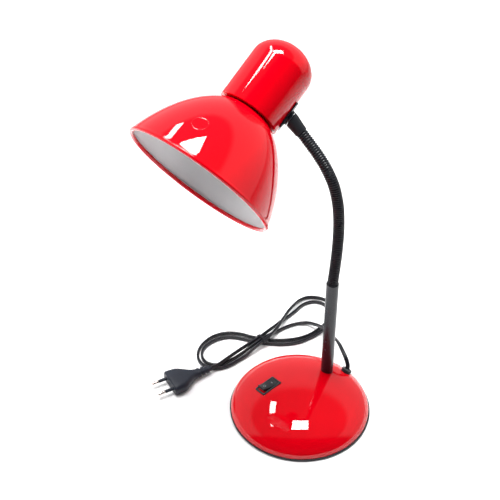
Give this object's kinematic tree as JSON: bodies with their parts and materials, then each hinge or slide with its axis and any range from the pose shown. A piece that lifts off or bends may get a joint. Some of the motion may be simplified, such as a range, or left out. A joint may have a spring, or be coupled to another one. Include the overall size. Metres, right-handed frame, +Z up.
{
  "type": "desk lamp",
  "caption": "Desk lamp with a bell shade on a bendable gooseneck, a rigid stem, a domed weighted base with a rocker switch, and a plug-in cord tied in a hank.",
  "frame": {"origin": "centre of the underside of the base, on the table", "axes": "+Z up; the stem stands on the +Y side of the base; the shade faces -Y and down"},
  "size_m": [0.2413, 0.2782, 0.4175],
  "materials": {
    "red_enamel": "gloss enamel",
    "black_enamel": "satin black paint",
    "black_plastic": "moulded satin",
    "neck_sleeve": "ribbed soft vinyl over a steel coil",
    "foam": "closed-cell foam",
    "cast_iron": "as cast",
    "zinc_steel": "zinc plated",
    "contact_brass": "plated",
    "white_ceramic": "glazed",
    "wire_brown": "vinyl insulation",
    "wire_blue": "vinyl insulation",
    "wire_white": "vinyl insulation",
    "cord_pvc": "flat twin vinyl flex",
    "plug_pvc": "moulded vinyl",
    "pin_metal": "nickel plated"
  },
  "bodies": {
    "base": {"base_pad": "foam", "bottom_plate": "black_plastic", "base_weight": "cast_iron", "base_cover": "red_enamel", "plate_screw_1": "zinc_steel", "plate_screw_2": "zinc_steel", "plate_screw_3": "zinc_steel", "stem_tube": "black_enamel", "stem_nipple": "zinc_steel", "stem_washer": "zinc_steel", "stem_nut": "zinc_steel", "switch_housing": "black_plastic", "switch_terminal_1": "contact_brass", "switch_terminal_2": "contact_brass", "cord_bush": "black_plastic", "lead_live": "wire_brown", "lead_neutral": "wire_blue", "lead_switched": "wire_brown", "neck_link_1": "neck_sleeve", "cord_lead": "cord_pvc", "cord_tie": "cord_pvc", "plug_body": "plug_pvc", "plug_pin_1": "pin_metal", "plug_pin_2": "pin_metal", "plug_sleeve_1": "plug_pvc", "plug_sleeve_2": "plug_pvc"},
    "neck_2": {"neck_link_2": "neck_sleeve"},
    "neck_3": {"neck_link_3": "neck_sleeve"},
    "neck_4": {"neck_link_4": "neck_sleeve"},
    "neck_5": {"neck_link_5": "neck_sleeve"},
    "neck_6": {"neck_link_6": "neck_sleeve"},
    "neck_7": {"neck_link_7": "neck_sleeve"},
    "neck_8": {"neck_link_8": "neck_sleeve"},
    "neck_9": {"neck_link_9": "neck_sleeve", "neck_collar": "black_plastic", "neck_nipple": "zinc_steel", "swivel_washer": "zinc_steel", "swivel_nut": "zinc_steel"},
    "head": {"saddle_plate": "black_enamel", "cap": "red_enamel", "shade": "red_enamel", "shade_ring": "black_plastic", "lampholder_shell": "black_plastic", "lampholder_core": "white_ceramic", "socket_thread": "contact_brass", "centre_contact": "contact_brass", "holder_bracket": "zinc_steel", "bracket_screw_1": "zinc_steel", "bracket_screw_2": "zinc_steel", "head_lead": "wire_white"},
    "rocker": {"switch_rocker": "black_plastic"}
  },
  "joints": [
    {"name": "neck_bend", "type": "hinge", "parent": "base", "child": "neck_2", "pos_m": [0.00106, 0.04699, 0.17216], "axis": [0.1323, -0.9912, 0], "range_deg": [-13, 10]},
    {"name": "neck_side", "type": "hinge", "parent": "neck_2", "child": "neck_3", "pos_m": [0.00271, 0.04684, 0.19656], "axis": [0.9896, 0.132, -0.0574], "range_deg": [-12, 12]},
    {"name": "neck_bend_2", "type": "hinge", "parent": "neck_3", "child": "neck_4", "pos_m": [0.00388, 0.04621, 0.22097], "axis": [0.1323, -0.9912, 0], "range_deg": [-13, 10]},
    {"name": "neck_side_2", "type": "hinge", "parent": "neck_4", "child": "neck_5", "pos_m": [0.00412, 0.04489, 0.24538], "axis": [0.9908, 0.1322, 0.0293], "range_deg": [-12, 12]},
    {"name": "neck_bend_3", "type": "hinge", "parent": "neck_5", "child": "neck_6", "pos_m": [0.00246, 0.04263, 0.26965], "axis": [0.1323, -0.9912, 0], "range_deg": [-13, 10]},
    {"name": "neck_side_3", "type": "hinge", "parent": "neck_6", "child": "neck_7", "pos_m": [-0.00297, 0.03916, 0.29319], "axis": [0.9274, 0.1237, 0.353], "range_deg": [-12, 12]},
    {"name": "neck_bend_4", "type": "hinge", "parent": "neck_7", "child": "neck_8", "pos_m": [-0.01408, 0.03485, 0.31445], "axis": [0.1323, -0.9912, 0], "range_deg": [-13, 10]},
    {"name": "neck_side_4", "type": "hinge", "parent": "neck_8", "child": "neck_9", "pos_m": [-0.02986, 0.03087, 0.33265], "axis": [0.6913, 0.0922, 0.7167], "range_deg": [-12, 12]},
    {"name": "head_swivel", "type": "hinge", "parent": "neck_9", "child": "head", "pos_m": [-0.04966, 0.02758, 0.35071], "axis": [0.8181, 0.3115, -0.4833], "range_deg": [-75, 75]},
    {"name": "rocker", "type": "hinge", "parent": "base", "child": "rocker", "pos_m": [-0.031, -0.02, 0.02847], "axis": [0.9789, -0.1463, 0.1429], "range_deg": [0, 24]}
  ],
  "couplings": [
    {"joint": "neck_bend_2", "follows": "neck_bend", "ratio": 1},
    {"joint": "neck_side_2", "follows": "neck_side", "ratio": 1},
    {"joint": "neck_bend_3", "follows": "neck_bend", "ratio": 1},
    {"joint": "neck_side_3", "follows": "neck_side", "ratio": 1},
    {"joint": "neck_bend_4", "follows": "neck_bend", "ratio": 1},
    {"joint": "neck_side_4", "follows": "neck_side", "ratio": 1}
  ]
}
